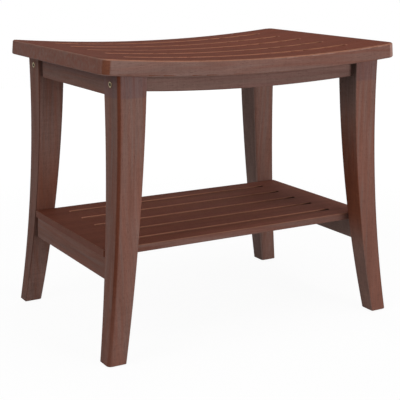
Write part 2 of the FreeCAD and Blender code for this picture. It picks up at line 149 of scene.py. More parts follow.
# The bare wood of the dowels. A pair named lightness or roughness is what a finish varies between.
DOWEL_STREAK_SIZE = (0.03, 0.0009)
DOWEL_STREAKS = (0.25, 0.75)
DOWEL_LIGHTNESS = (0.86, 1.12)
DOWEL_FLECK_SIZE = (0.0025, 0.0003)
DOWEL_FLECKS = (0.60, 0.72)
DOWEL_FLECK_SHARE = 0.5
DOWEL_FLECK_DEPTH = 0.6
DOWEL_WORN_STREAKS = (0.2, 0.8)
DOWEL_ROUGHNESS = (0.62, 0.74)
DOWEL_GLOSS = 0.3
DOWEL_RELIEF_DEPTH = 0.00006
DOWEL_RELIEF_STRENGTH = 0.5

# The brass of the bolts, with lengths in metres.
BOLT_HEAD_RADIUS = 0.00475
BOLT_RIM = (BOLT_HEAD_RADIUS - 0.0011, BOLT_HEAD_RADIUS - 0.0002)
SOCKET_SHADE_RADIUS = 0.0029
SOCKET_GLOSS = 0.1
BLOOM_SIZE = (0.003, 0.003, 0.003)
BLOOM_PATCHES = (0.42, 0.70)
BLOOM_DULLING = (0.3, 0.7)
BRASS_ROUGHNESS = (0.30, 0.52)
TURNING_MARK_SIZE = (0.0002, 0.0011, 0.0011)
TURNING_MARK_DEPTH = 0.00003
TURNING_MARK_STRENGTH = 0.5

# The zinc of the hidden fixings, with lengths in metres.
SPANGLES_PER_METRE = 700.0
ZINC_ROUGHNESS = (0.28, 0.46)
HAZE_SIZE = (0.002, 0.002, 0.002)
HAZE_PATCHES = (0.35, 0.75)
HAZE_DEPTH = 0.00003
HAZE_STRENGTH = 0.4
WORN_ZINC = 0.66

# The plastic of the glides, with lengths in metres.
MOULD_GRAIN_SIZE = (0.0004, 0.0004, 0.0004)
MOULD_GRAIN_DEPTH = 0.00004
MOULD_GRAIN_STRENGTH = 0.6
MOULD_SPREAD = 0.2
PLASTIC_GLOSS = 0.4
SCUFF_SIZE = (0.006, 0.0012, 0.002)
SCUFF_PATCHES = (0.58, 0.74)
SCUFF_SHARE = 0.6
SCUFF_PALENESS = 2.6

# The stage, in metres. A lamp takes its power from a setting, and only a mirrored one shows in gloss.
Lamp = namedtuple("Lamp", "name power_setting width place mirrored")
LAMPS = (
    Lamp("stage_key", "key_power", width=2.0, place=(1.6, -4.8, 0.8), mirrored=True),
    Lamp("stage_top", "top_power", width=1.4, place=(0.2, -0.3, 2.4), mirrored=True),
    Lamp("stage_fill", "fill_power", width=1.4, place=(-2.1, -0.5, 1.5), mirrored=True),
    Lamp("stage_back", "back_power", width=2.0, place=(1.2, 4.0, 0.6), mirrored=False),
)
FLOOR_RADIUS = 3.0
FLOOR_SIDES = 96
OPEN_FLOOR = (0.5, 2.0)
LAMPS_ON_FLOOR = 0.8
SENSOR_WIDTH = 36.0


def tone(red, green, blue):
    """Linear colour of a tone given as it looks on a screen, from 0 to 255."""
    shares = [value / 255 for value in (red, green, blue)]
    return tuple(s / 12.92 if s <= 0.04045 else ((s + 0.055) / 1.055) ** 2.4 for s in shares)


def colour_setting(name, description, default):
    """Colour that a user can change."""
    return FloatVectorProperty(name=name, description=description, default=default, subtype="COLOR",
                               size=3, min=0.0, max=1.0)


def length_setting(name, description, default):
    """Length in metres that a user can change."""
    return FloatProperty(name=name, description=description, default=default, min=0.00001,
                         subtype="DISTANCE", unit="LENGTH", precision=4)


def share_setting(name, description, default):
    """Share from 0 to 1 that a user can change."""
    return FloatProperty(name=name, description=description, default=default, min=0.0, max=1.0,
                         subtype="FACTOR")


def watt_setting(name, description, default):
    """Power of a lamp, in watts, that a user can change."""
    return FloatProperty(name=name, description=description, default=default, min=0.0,
                         subtype="POWER", unit="POWER")


class BenchWood(bpy.types.PropertyGroup):
    """The stain and the grain of the wooden pieces, with light and shade painted into their colours."""

    seat_stain: colour_setting(
        "Seat stain", "Stain on the upper face of the seat, at its left end", tone(92, 44, 28))
    # Painted light: the seat's upper face is lighter towards its right end, where more light falls.
    seat_top_lit_right: colour_setting(
        "Seat far stain", "Lighter stain on the seat's upper face, at its right end", tone(104, 53, 37))
    seat_edge_stain: colour_setting(
        "Seat edge stain", "Stain on the edges of the seat", tone(120, 80, 69))
    # Painted shade on the seat's left corners, which show none of the sheen painted on the flat faces.
    seat_corner_shade: colour_setting(
        "Seat corner stain", "Deep stain on the left corners of the seat", tone(104, 62, 46))
    # Painted highlight: a pale glancing reflection on the seat's right corners.
    seat_right_corner_highlight: colour_setting(
        "Seat far corner", "Stain worn pale on the right corners of the seat", tone(160, 126, 116))
    # Painted highlight: the pale line where the rims of the seat's slots catch the light.
    seat_slot_highlight: colour_setting(
        "Seat slot stain", "Stain worn thin along the slots of the seat", tone(160, 108, 84))
    # Painted shadow at the right ends of the seat's slots, where their end walls stand in shade.
    seat_slot_end_shadow: colour_setting(
        "Seat slot end", "Stain gathered at the right ends of the seat's slots", tone(92, 54, 42))
    shelf_stain: colour_setting(
        "Shelf stain", "Stain on the upper faces of the frame and of the shelf's left end", tone(116, 65, 49))
    # Painted light: the shelf's upper face is lighter towards its right end, where more light falls.
    shelf_top_lit_right: colour_setting(
        "Shelf far stain", "Lighter stain on the shelf's upper face, at its right end", tone(133, 83, 69))
    shelf_edge_stain: colour_setting(
        "Shelf edge stain", "Stain on the edges of the shelf", tone(112, 73, 62))
    # Painted highlight: the pale line where the rims of the shelf's slots catch the light.
    shelf_slot_highlight: colour_setting(
        "Shelf slot stain", "Stain worn thin along the slots of the shelf", tone(172, 117, 95))
    # Painted shadow at the right ends of the shelf's slots, where their end walls stand in shade.
    shelf_slot_end_shadow: colour_setting(
        "Shelf slot end", "Stain gathered at the right ends of the shelf's slots", tone(54, 32, 25))
    side_stain: colour_setting(
        "Side stain", "Stain on the upright faces of the legs and rails", tone(123, 82, 70))
    # Stain and painted shade: the aprons are painted darker and greyer for the shade that falls under the
    # seat.
    apron_stain_and_shade: colour_setting(
        "Apron stain", "Stain on the upright faces of the aprons", tone(115, 84, 77))
    # Painted sheen: the grey of the upright faces where they reflect a white room, laid in bands along the
    # grain and mostly near the seat.
    grey_sheen: colour_setting(
        "Grey stain", "Duller bands on the upright faces, most of them near the seat", tone(122, 95, 87))
    # Painted red bounce light from the shelf: low inside the front legs and just above the shelf on the rear
    # legs.
    shelf_bounce_red: colour_setting(
        "Inner stain", "Redder stain low inside the front legs and by the shelf on the rear legs",
        tone(121, 69, 50))
    # Painted sheen: the grey of the inner faces, which reflect a white room while little light reaches them.
    inner_sheen_grey: colour_setting(
        "Inner grey", "Dull stain on the inner faces of the legs and rails", tone(141, 117, 109))
    # Painted shade in the recess beside the ends of the aprons.
    recess_shade: colour_setting(
        "Recess stain", "Stain gathered in the recess beside the ends of the aprons", tone(74, 42, 31))
    # Painted shadow: the seat's shadow that greys and darkens the legs and rails close under it.
    under_seat_shadow_tint: colour_setting(
        "Under-seat tint", "Film that dulls the stain close under the seat", (0.84, 0.875, 0.98))
    # Painted shade on the rounded upright edges, which show none of the sheen painted on the flat faces.
    corner_shade: colour_setting(
        "Corner stain", "Deep stain on the rounded upright edges", tone(98, 53, 38))
    # Painted shade on the rounded edge of the rear left leg, deeper still as that leg stands in shade.
    rear_corner_shade: colour_setting(
        "Rear corner stain", "Stain on the rounded edge of the rear left leg", tone(84, 54, 45))
    # Painted highlight on the upper edges, where the rounded arris catches the light.
    edge_highlight: colour_setting(
        "Rubbed edge", "Stain worn thin on the upper edges", tone(148, 104, 84))
    pore: colour_setting(
        "Pores", "Stain gathered in the open pores", tone(52, 30, 25))
    dowel: colour_setting(
        "Dowel wood", "Bare hardwood of the dowels", tone(196, 158, 112))
    streak_width: length_setting("Streak width", "Width of the streaks of the grain", 0.0022)
    streak_length: length_setting("Streak length", "Length of the streaks of the grain", 0.11)
    pore_width: length_setting("Pore width", "Width of the open pores", 0.00035)
    pore_length: length_setting("Pore length", "Length of the open pores", 0.008)
    contrast: share_setting("Grain contrast", "How much the streaks differ from the stain around them", 0.26)
    roughness: share_setting("Oil roughness", "Roughness of the satin oil", 0.80)


class BenchHardware(bpy.types.PropertyGroup):
    """The finish of the bolts, nuts, screws, nails and glides."""

    brass: colour_setting("Brass", "Dull brass plating of the bolts", tone(184, 168, 130))
    tarnish: colour_setting("Tarnish", "Darker bloom on the brass", tone(96, 78, 50))
    # Painted shade: the sockets of the bolts painted near black.
    socket_shade: colour_setting("Socket", "Grime in the sockets of the bolts", tone(30, 23, 17))
    zinc: colour_setting("Zinc", "Zinc plating of the screws, nuts and nails", tone(186, 188, 192))
    plastic: colour_setting("Plastic", "Black plastic of the foot glides", tone(44, 38, 36))
    plastic_roughness: share_setting("Plastic roughness", "Roughness of the moulded glides", 0.55)


class BenchStage(bpy.types.PropertyGroup):
    """The camera, the lamps and the floor."""

    lens: FloatProperty(
        name="Lens", description="Focal length of the camera in millimetres", default=92.979, min=1.0,
        subtype="DISTANCE_CAMERA")
    camera_place: FloatVectorProperty(
        name="Camera place", description="Where the camera stands", default=(-0.86516, -1.50354, 0.609),
        subtype="TRANSLATION", unit="LENGTH")
    camera_turn: FloatVectorProperty(
        name="Camera turn", description="Which way the camera looks",
        default=(math.radians(76.372), 0.0, math.radians(-29.923)), subtype="EULER")
    key_power: watt_setting("Key power", "Power of the large lamp in front", 135.0)
    top_power: watt_setting("Top power", "Power of the lamp overhead", 17.0)
    fill_power: watt_setting("Fill power", "Power of the lamp on the left", 15.8)
    back_power: watt_setting("Back power", "Power of the lamp behind the right end", 70.0)
    room_light: share_setting("Room light", "Brightness of the light from all round", 0.17)
    floor_shade: colour_setting("Floor", "Colour that the floor reflects onto the bench", (0.75, 0.75, 0.75))
    shadow_depth: share_setting("Shadow depth", "How strongly the bench's shadow shows on the floor", 0.07)


def opaque(colour):
    """A colour as a shader node takes it. The output of another node stays as it is."""
    return colour if isinstance(colour, bpy.types.NodeSocket) else (*colour, 1.0)


def scaled(colour, factor):
    """A deeper or paler version of a colour."""
    return tuple(min(1.0, value * factor) for value in colour)


class Finish:
    """A material in the making, with short ways to add shader nodes and link them."""

    def __init__(self, name):
        self.material = bpy.data.materials.new(name)
        self.material.use_nodes = True
        self.tree = self.material.node_tree
        self.tree.nodes.clear()
        self.output = self.add("OutputMaterial")

    def add(self, kind, inputs=None, **settings):
        """A new node with its settings and its inputs, each a value or the output of another node."""
        node = self.tree.nodes.new("ShaderNode" + kind)
        for name, value in settings.items():
            setattr(node, name, value)
        for key, value in (inputs or {}).items():
            if isinstance(value, bpy.types.NodeSocket):
                self.tree.links.new(value, node.inputs[key])
            else:
                node.inputs[key].default_value = value
        return node

    def show(self, shader):
        """Puts a shader on the surface."""
        self.tree.links.new(shader.outputs[0], self.output.inputs["Surface"])

    def coat(self, **inputs):
        """Puts the usual shader on the surface, with _ for a space in the names of its inputs."""
        named = {name.replace("_", " "): value for name, value in inputs.items()}
        self.show(self.add("BsdfPrincipled", named))

    @cached_property
    def coordinates(self):
        """Ways to say where a point lies on the piece."""
        return self.add("TexCoord").outputs

    @cached_property
    def place(self):
        """Point on the piece, in metres."""
        return self.coordinates["Object"]

    @cached_property
    def position(self):
        """X, Y and Z of the point on the piece, in metres."""
        return self.add("SeparateXYZ", {0: self.place}).outputs

    @cached_property
    def facing(self):
        """How far the surface looks along X, Y and Z of the bench."""
        return self.add("SeparateXYZ", {0: self.coordinates["Normal"]}).outputs

    def combine(self, operation, first, *others):
        """Values taken together one after another, by a sum, a product or the like."""
        for other in others:
            first = self.add("Math", {0: first, 1: other}, operation=operation).outputs[0]
        return first

    def total(self, *values):
        """Sum of some values."""
        return self.combine("ADD", *values)

    def difference(self, first, second):
        """First value less the second."""
        return self.combine("SUBTRACT", first, second)

    def product(self, *values):
        """Some values multiplied together."""
        return self.combine("MULTIPLY", *values)

    def largest(self, *values):
        """Largest of some values."""
        return self.combine("MAXIMUM", *values)

    def unsigned(self, value):
        """Value without its sign."""
        return self.add("Math", {0: value}, operation="ABSOLUTE").outputs[0]

    def distance(self, first, second):
        """Straight distance over two steps at a right angle."""
        steps = self.add("CombineXYZ", {0: first, 1: second}).outputs[0]
        return self.add("VectorMath", {0: steps}, operation="LENGTH").outputs["Value"]

    def vector(self, operation, first, second):
        """Two points or shifts taken together."""
        return self.add("VectorMath", {0: first, 1: second}, operation=operation).outputs[0]

    def slope(self, steepness):
        """Value that rises evenly over the bench, by so much for each metre along X, Y and Z."""
        inputs = {0: self.place, 1: steepness}
        return self.add("VectorMath", inputs, operation="DOT_PRODUCT").outputs["Value"]

    def ramp(self, value, limits, start=0.0, end=1.0):
        """Smooth change from a start to an end while a value passes between two limits."""
        low, high = limits
        inputs = {"Value": value, "From Min": low, "From Max": high, "To Min": start, "To Max": end}
        return self.add("MapRange", inputs, interpolation_type="SMOOTHSTEP").outputs[0]

    def fade(self, value, limits):
        """Smooth change from 1 to 0 while a value passes between two limits."""
        return self.ramp(value, limits, 1.0, 0.0)

    def blend(self, share, first, second, blend_type="MIX"):
        """Two colours, with a share of the second."""
        # The node's colours go by number, because its inputs for other kinds of data have the same names.
        inputs = {0: share, 6: opaque(first), 7: opaque(second)}
        return self.add("Mix", inputs, data_type="RGBA", blend_type=blend_type).outputs[2]

    def lightened(self, colour, lightness):
        """A colour made lighter or darker, where 1 leaves it as it is."""
        return self.add("HueSaturation", {"Color": opaque(colour), "Value": lightness}).outputs[0]

    def noise_node(self, place, size, detail, roughness=0.5):
        """Noise with features of a size along X, Y and Z, in metres."""
        scale = tuple(1.0 / extent for extent in size)
        stretched = self.add("Mapping", {"Vector": place, "Scale": scale}).outputs[0]
        inputs = {"Vector": stretched, "Scale": 1.0, "Detail": detail, "Roughness": roughness}
        return self.add("TexNoise", inputs)

    def noise(self, place, size, detail=2.0, roughness=0.5):
        """Noise of that kind as one value from 0 to 1."""
        return self.noise_node(place, size, detail, roughness).outputs[0]

    def relief(self, height, depth, strength):
        """Fine relief of the surface, its depth in metres."""
        inputs = {"Height": height, "Distance": depth, "Strength": strength}
        return self.add("Bump", inputs).outputs[0]


def along(grain, lengthwise, across):
    """A size along X, Y and Z for wood whose grain runs along one of them."""
    return tuple(lengthwise if axis == grain else across for axis in "XYZ")


@dataclass
class Staining:
    """The stain of a piece, or of a group of like pieces, with light and shade painted into it, and how it
    changes over them.
    """

    upper: Color                       # on the upper faces
    side: Color                        # on the upright faces
    corner: Color                      # painted shade on the rounded upright edges
    upper_lit_right: Color = None            # painted light on the upper faces towards the right end, where it differs there
    inner_low_bounce: Color = None            # painted red bounce light low on the inner faces, where it differs there
    corner_right_highlight: Color = None           # painted highlight on the corners of the seat at its right end
    shade: float = 1.0                 # lightness of the piece, where 1 is the stain as it is written
    outer_shade: float = None          # lightness of its outer faces, where it differs there
    lean: tuple = None                 # how the lightness changes over the bench, along X, Y and Z
    drift: tuple = (0.3, -0.4, -0.6)   # how the bands change from the painted grey sheen to red stain over the bench
    shelf_bounce_light: float = 0.0            # how much painted red bounce light from the shelf the piece has just above it
    under_seat_shadow_start: tuple = None           # heights between which the painted shadow under the seat begins
    slots: Slots = None                # where its slots lie
    slot: Color = None                 # painted highlight along the slots
    slot_end: Color = None             # painted shadow at the right ends of the slots


# What kinds of face a point lies on, each from 0 to 1, apart from its outward turn.
Faces = namedtuple("Faces", "outward inner upper upright rounded end_grain")


def wandering(finish, grain, wood):
    """Points on the piece, shifted a little so that the grain wanders as it runs along."""
    size = along(grain, wood.streak_length * WANDER_STREAKS, WANDER_WIDTH)
    drift = finish.noise_node(finish.place, size, detail=1.0).outputs["Color"]
    centred = finish.vector("SUBTRACT", drift, (NOISE_MEAN, NOISE_MEAN, NOISE_MEAN))
    shift = finish.vector("MULTIPLY", centred, (WANDER_SHIFT, WANDER_SHIFT, WANDER_SHIFT))
    return finish.vector("ADD", finish.place, shift)


def faces_of(finish, grain):
    """The kinds of face of a piece whose grain runs along one axis."""
    outward = finish.product(finish.position["X"], finish.facing["X"])
    flattest = finish.largest(*[finish.unsigned(turn) for turn in finish.facing])
    return Faces(
        outward=outward,
        inner=finish.fade(outward, INNER_FACE_END),
        upper=finish.ramp(finish.facing["Z"], UPPER_FACE),
        upright=finish.fade(finish.unsigned(finish.facing["Z"]), SLANTING_FACE),
        rounded=finish.fade(flattest, FLAT_FACE),
        end_grain=finish.ramp(finish.unsigned(finish.facing[grain]), END_GRAIN),
    )


def side_colour(finish, staining, wood, bands, faces):
    """Colour of the upright faces: red bands of stain and grey bands of painted sheen along the grain, with
    painted red bounce light just above the shelf and a painted shadow under the seat where a piece has them.
    """
    height = finish.position["Z"]
    end_warmth = finish.product(faces.end_grain, END_GRAIN_WARMTH)
    warmth = finish.total(bands, finish.slope(staining.drift), end_warmth)
    # The grey is painted sheen; the red is the stain.
    colour = finish.blend(finish.ramp(warmth, WARM_BANDS), wood.grey_sheen, staining.side)
    # Painted red bounce light just above the shelf.
    if staining.shelf_bounce_light:
        glow = finish.product(finish.ramp(height, SHELF_BOUNCE_START, 0.0, staining.shelf_bounce_light),
                              finish.fade(height, SHELF_BOUNCE_END),
                              finish.fade(faces.outward, OUTER_FACE_START))
        colour = finish.blend(glow, colour, wood.shelf_bounce_red)
    # Painted shadow of the seat, close under it.
    if staining.under_seat_shadow_start:
        under_seat_shadow = finish.ramp(height, staining.under_seat_shadow_start)
        colour = finish.blend(under_seat_shadow, colour, wood.under_seat_shadow_tint, "MULTIPLY")
    return colour


def inner_colour(finish, staining, wood, bands):
    """Colour of the faces that look at the middle of the bench: grey with a painted sheen, with painted shade
    in the recess by the aprons, and, where a piece has them, painted red bounce light from the shelf low down
    and painted shade high up.
    """
    height = finish.position["Z"]
    # Painted shade in the recess by the aprons.
    in_recess_shade = finish.ramp(height, RECESS_SHADE_START)
    # The inner faces are grey with painted sheen.
    if not staining.inner_low_bounce:
        return finish.blend(in_recess_shade, wood.inner_sheen_grey, wood.recess_shade)
    # Painted red bounce light from the shelf, low on the inner faces.
    ragged_height = finish.difference(height, finish.product(bands, INNER_BOUNCE_RAGGED))
    bounce_low_down = finish.product(finish.fade(ragged_height, INNER_BOUNCE_END),
                              finish.ramp(height, INNER_BOUNCE_START, INNER_BOUNCE_BY_FOOT, 1.0))
    colour = finish.blend(bounce_low_down, wood.inner_sheen_grey, staining.inner_low_bounce)
    colour = finish.blend(in_recess_shade, colour, wood.recess_shade)
    # Painted shade high on the inner faces, close under the seat.
    shaded_high_up = finish.ramp(height, INNER_SHADE_START, 0.0, INNER_SHADE_SHARE)
    return finish.blend(shaded_high_up, colour, scaled(wood.inner_sheen_grey, INNER_SHADE_DEPTH))


def with_upper_faces(finish, staining, faces, colour):
    """The stain of the upper faces laid over the rest, with painted light that makes it lighter towards the
    right end where it differs there.
    """
    upper = staining.upper
    # Painted light: lighter towards the right end of the board.
    if staining.upper_lit_right:
        upper = finish.blend(finish.ramp(finish.position["X"], BOARD_SPAN), upper, staining.upper_lit_right)
    return finish.blend(faces.upper, colour, upper)


def with_corners(finish, staining, faces, colour):
    """Painted shade on the rounded upright edges, laid over the rest: they show none of the sheen painted on
    the flat faces. The seat's right corners get a painted highlight instead.
    """
    if staining.corner_right_highlight:
        at_corner = finish.product(finish.ramp(finish.unsigned(finish.facing["X"]), SEAT_CORNER_TURN),
                                   finish.ramp(finish.unsigned(finish.facing["Y"]), SEAT_CORNER_FRONT),
                                   faces.upright)
        # Painted highlight on the right corners of the seat, painted shade on the left ones.
        to_right = finish.ramp(finish.position["X"], MIDDLE_SPAN)
        corner = finish.blend(to_right, staining.corner, staining.corner_right_highlight)
    else:
        # Painted shade on the rounded upright edges, weaker near the feet.
        at_corner = finish.product(faces.rounded, faces.upright,
                                   finish.ramp(faces.outward, CORNER_FACE_START),
                                   finish.ramp(finish.position["Z"], CORNER_START, CORNER_BY_FOOT, 1.0))
        corner = staining.corner
    return finish.blend(at_corner, colour, corner)


def with_edge_highlights(finish, wood, faces, colour):
    """Painted highlight on the upper edges, where the rounded arris catches the light, weaker at the ends."""
    along_bench = finish.ramp(finish.unsigned(finish.facing["X"]), END_EDGE, 1.0, EDGE_HIGHLIGHT_BY_END)
    highlighted = finish.product(faces.rounded, finish.ramp(finish.facing["Z"], UPPER_EDGE), along_bench)
    return finish.blend(highlighted, colour, wood.edge_highlight)


def with_slots(finish, staining, colour):
    """Painted highlight along the slots of a board, with painted shade on their walls, painted light at their
    left ends and a painted shadow at their right ends.
    """
    slots = staining.slots
    low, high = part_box(slots.board)
    slot_end = (high[0] - low[0]) / 2 - slots.end_margin
    last_centre = slot_end - SLOT_WIDTH / 2
    pitch = (high[1] - low[1] - 2 * slots.side_margin) / (SLOT_COUNT - 1)
    reach = SLOT_WIDTH / 2 + slots.rim_radius
    x = finish.position["X"]
    beside = finish.combine("PINGPONG", finish.position["Y"], pitch / 2)
    beyond = finish.largest(finish.difference(finish.unsigned(x), last_centre), 0.0)
    rim = (reach - SLOT_RIM_INSIDE, reach + SLOT_RIM_OUTSIDE)
    in_slot = finish.fade(finish.distance(beyond, beside), rim)

    along_bench = finish.facing["X"]
    upward = finish.facing["Z"]
    # Painted shade on the slot walls below the rims.
    wall = scaled(staining.slot, SLOT_WALL_SHADE)
    inside = finish.blend(finish.ramp(upward, SLOT_RIM), wall, staining.slot)
    # Painted light on the end walls that face right, at the left ends of the slots.
    pale = scaled(staining.slot, SLOT_LEFT_END_LIGHT)
    inside = finish.blend(finish.ramp(along_bench, SLOT_LEFT_END), inside, pale)
    # Painted shadow: the walls near the right ends of the slots, and the end walls that face left, are
    # darkened.
    shadowed_walls = finish.product(finish.ramp(x, (slot_end - SLOT_END_SHADOW_LENGTH, last_centre)),
                                finish.fade(upward, SLOT_RIM_TOP))
    dark = finish.largest(shadowed_walls, finish.fade(along_bench, SLOT_RIGHT_END))
    inside = finish.blend(dark, inside, staining.slot_end)
    return finish.blend(in_slot, colour, inside)


def wood_lightness(finish, staining, wood, layers, faces):
    """Lightness of the stain: its shade, with layers of grain that are calmer on the end grain."""
    grain = finish.total(*[finish.product(finish.difference(noise, NOISE_MEAN), strength * wood.contrast)
                           for noise, strength in layers])
    lightness = finish.product(grain, finish.ramp(faces.end_grain, WHOLE_SPAN, 1.0, END_GRAIN_CALM))
    if staining.lean:
        lightness = finish.total(lightness, finish.slope(staining.lean))
    shade = staining.shade
    if staining.outer_shade:
        shade = finish.ramp(faces.outward, OUTER_FACE_START, staining.shade, staining.outer_shade)
    return finish.total(lightness, shade)


def stained_wood(name, grain, staining, wood):
    """Open-pored wood, stained and oiled, whose grain runs along one axis of the bench."""
    finish = Finish(name)
    place = wandering(finish, grain, wood)
    figure = finish.noise(place, along(grain, *FIGURE_SIZE))
    bands = finish.noise(place, along(grain, *BAND_SIZE))
    ripple = finish.noise(finish.place, along(grain, *RIPPLE_SIZE), detail=1.0)
    streak_size = along(grain, wood.streak_length, wood.streak_width)
    streaks = finish.noise(place, streak_size, detail=3.0, roughness=0.6)
    pore_lines = finish.noise(place, along(grain, wood.pore_length, wood.pore_width), detail=1.0)
    pores = finish.ramp(pore_lines, OPEN_PORES)

    faces = faces_of(finish, grain)
    colour = finish.blend(faces.inner, side_colour(finish, staining, wood, bands, faces),
                          inner_colour(finish, staining, wood, bands))
    colour = with_upper_faces(finish, staining, faces, colour)
    colour = with_corners(finish, staining, faces, colour)
    colour = with_edge_highlights(finish, wood, faces, colour)
    if staining.slots:
        colour = with_slots(finish, staining, colour)
    layers = ((figure, FIGURE_STRENGTH), (streaks, STREAK_STRENGTH), (ripple, RIPPLE_STRENGTH))
    colour = finish.lightened(colour, wood_lightness(finish, staining, wood, layers, faces))
    colour = finish.blend(finish.product(pores, PORE_DARKNESS), colour, wood.pore)

    roughness = finish.total(finish.product(streaks, OIL_SPREAD), wood.roughness - OIL_SPREAD / 2)
    height = finish.difference(finish.product(streaks, STREAK_RELIEF), pores)
    finish.coat(Base_Color=colour, Roughness=roughness, Specular_IOR_Level=OIL_GLOSS,
                Normal=finish.relief(height, PORE_DEPTH, PORE_STRENGTH))
    return finish.material


def bare_wood(name, grain, wood):
    """Pale turned hardwood with fine flecks along its grain."""
    finish = Finish(name)
    streaks = finish.noise(finish.place, along(grain, *DOWEL_STREAK_SIZE))
    fleck_noise = finish.noise(finish.place, along(grain, *DOWEL_FLECK_SIZE), detail=1.0)
    flecks = finish.product(finish.ramp(fleck_noise, DOWEL_FLECKS), DOWEL_FLECK_SHARE)
    streaked = finish.lightened(wood.dowel, finish.ramp(streaks, DOWEL_STREAKS, *DOWEL_LIGHTNESS))
    finish.coat(Base_Color=finish.blend(flecks, streaked, scaled(wood.dowel, DOWEL_FLECK_DEPTH)),
                Roughness=finish.ramp(streaks, DOWEL_WORN_STREAKS, *DOWEL_ROUGHNESS),
                Specular_IOR_Level=DOWEL_GLOSS,
                Normal=finish.relief(streaks, DOWEL_RELIEF_DEPTH, DOWEL_RELIEF_STRENGTH))
    return finish.material


def dull_brass(name, hardware):
    """Plated brass with a thin brown bloom, fine turning marks and painted shade in the sockets."""
    finish = Finish(name)
    low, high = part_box("apron_bolts")
    beside = finish.difference(finish.unsigned(finish.position["Y"]), high[1] - BOLT_HEAD_RADIUS)
    above = finish.difference(finish.position["Z"], (low[2] + high[2]) / 2)
    from_axis = finish.distance(beside, above)
    # Painted shade in the sockets, which are also made not metallic.
    in_socket = finish.combine("LESS_THAN", from_axis, SOCKET_SHADE_RADIUS)
    bloom = finish.noise(finish.place, BLOOM_SIZE, detail=3.0, roughness=0.6)
    marks = finish.noise(finish.place, TURNING_MARK_SIZE)
    clouded = finish.largest(finish.ramp(bloom, BLOOM_PATCHES), finish.ramp(from_axis, BOLT_RIM))
    plating = finish.blend(clouded, hardware.brass, hardware.tarnish)
    finish.coat(Base_Color=finish.blend(in_socket, plating, hardware.socket_shade),
                Metallic=finish.difference(1.0, in_socket),
                Roughness=finish.ramp(bloom, BLOOM_DULLING, *BRASS_ROUGHNESS),
                Specular_IOR_Level=SOCKET_GLOSS,
                Normal=finish.relief(marks, TURNING_MARK_DEPTH, TURNING_MARK_STRENGTH))
    return finish.material


def zinc_plate(name, hardware):
    """Bright zinc plating with a faint spangle."""
    finish = Finish(name)
    cells = finish.add("TexVoronoi", {"Vector": finish.place, "Scale": SPANGLES_PER_METRE}).outputs["Color"]
    spangle = finish.add("SeparateColor", {0: cells}).outputs[0]
    haze = finish.noise(finish.place, HAZE_SIZE, detail=3.0)
    worn = scaled(hardware.zinc, WORN_ZINC)
    finish.coat(Base_Color=finish.blend(finish.ramp(haze, HAZE_PATCHES), hardware.zinc, worn), Metallic=1.0,
                Roughness=finish.ramp(spangle, WHOLE_SPAN, *ZINC_ROUGHNESS),
                Normal=finish.relief(haze, HAZE_DEPTH, HAZE_STRENGTH))
    return finish.material


def moulded_plastic(name, hardware):
    """Black moulded plastic with a fine grain and pale scuffs."""
    finish = Finish(name)
    grain = finish.noise(finish.place, MOULD_GRAIN_SIZE)
    scuff_noise = finish.noise(finish.place, SCUFF_SIZE, detail=3.0)
    scuffs = finish.product(finish.ramp(scuff_noise, SCUFF_PATCHES), SCUFF_SHARE)
    plastic = finish.blend(scuffs, hardware.plastic, scaled(hardware.plastic, SCUFF_PALENESS))
    smoothest = hardware.plastic_roughness - MOULD_SPREAD / 2
    roughness = finish.total(finish.product(grain, MOULD_SPREAD), smoothest)
    finish.coat(Base_Color=plastic, Roughness=roughness, Specular_IOR_Level=PLASTIC_GLOSS,
                Normal=finish.relief(grain, MOULD_GRAIN_DEPTH, MOULD_GRAIN_STRENGTH))
    return finish.material


def dress(nodes, material):
    """Puts a finish on every slot of the named pieces."""
    for name in nodes:
        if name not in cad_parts:
            raise RuntimeError(f"the bench has no piece named {name}")
        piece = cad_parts[name]
        if not piece.material_slots:
            raise RuntimeError(f"{name} has no material slot")
        for slot in piece.material_slots:
            slot.material = material


class BENCH_OT_finish_seat(bpy.types.Operator):
    """Stain the seat, with its grain along the bench"""
    bl_idname = "bench.finish_seat"
    bl_label = "Finish Seat"

    def execute(self, context):
        wood = context.scene.bench_wood
        staining = Staining(
            upper=wood.seat_stain, upper_lit_right=wood.seat_top_lit_right, side=wood.seat_edge_stain,
            corner=wood.seat_corner_shade, corner_right_highlight=wood.seat_right_corner_highlight,
            shade=1.06, outer_shade=1.08, drift=(0.7, -0.4, -0.6),
            slots=SEAT_SLOTS, slot=wood.seat_slot_highlight, slot_end=wood.seat_slot_end_shadow)
        dress(["seat_panel"], stained_wood("seat_wood_oiled", "X", staining, wood))
        return {"FINISHED"}


class BENCH_OT_finish_shelf(bpy.types.Operator):
    """Stain the shelf, with its grain along the bench"""
    bl_idname = "bench.finish_shelf"
    bl_label = "Finish Shelf"

    def execute(self, context):
        wood = context.scene.bench_wood
        staining = Staining(
            upper=wood.shelf_stain, upper_lit_right=wood.shelf_top_lit_right, side=wood.shelf_edge_stain,
            corner=wood.corner_shade,
            slots=SHELF_SLOTS, slot=wood.shelf_slot_highlight, slot_end=wood.shelf_slot_end_shadow)
        dress(["shelf_panel"], stained_wood("shelf_wood_oiled", "X", staining, wood))
        return {"FINISHED"}


